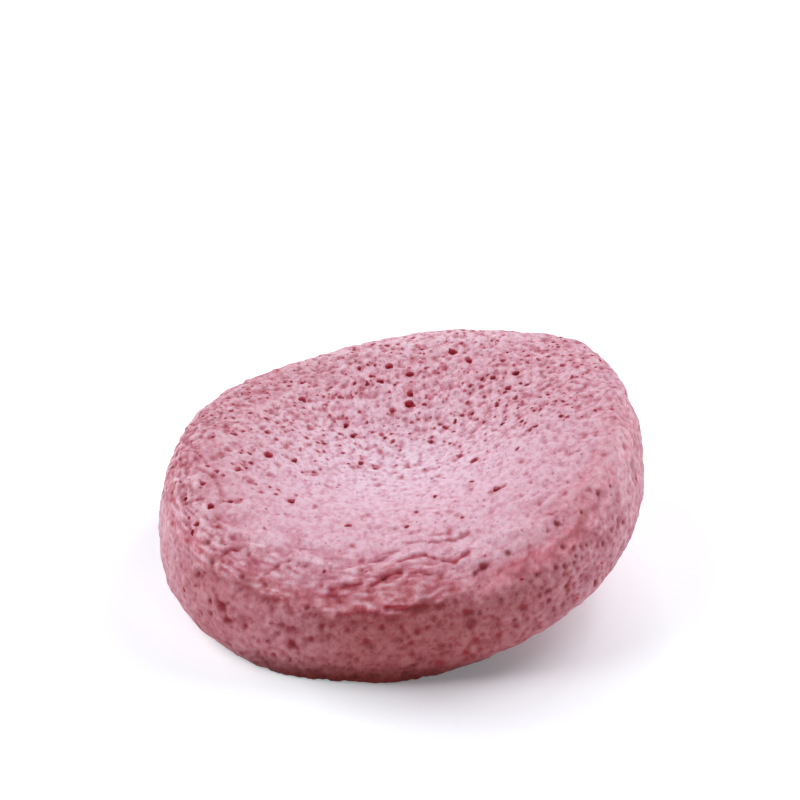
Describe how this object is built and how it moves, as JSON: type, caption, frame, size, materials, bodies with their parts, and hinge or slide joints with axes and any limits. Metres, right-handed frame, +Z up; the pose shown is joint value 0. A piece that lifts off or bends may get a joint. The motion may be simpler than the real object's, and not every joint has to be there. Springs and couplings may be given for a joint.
{
  "type": "konjac sponge",
  "caption": "Round facial cleansing sponge of dried konjac foam, pitted with pores, dished on top and curled so that one side lies low and the other stands up.",
  "frame": {"origin": "on the surface that the sponge lies on, under the middle of its bounding box", "axes": "+Z up, away from the surface; +X towards the side that stands up; -Y towards the low front edge"},
  "size_m": [0.0758, 0.0838, 0.0261],
  "materials": {
    "konjac_foam": "matt open-cell foam, dry, dusty pink with dark red pores"
  },
  "bodies": {
    "root": {"sponge_body": "konjac_foam"}
  },
  "joints": []
}
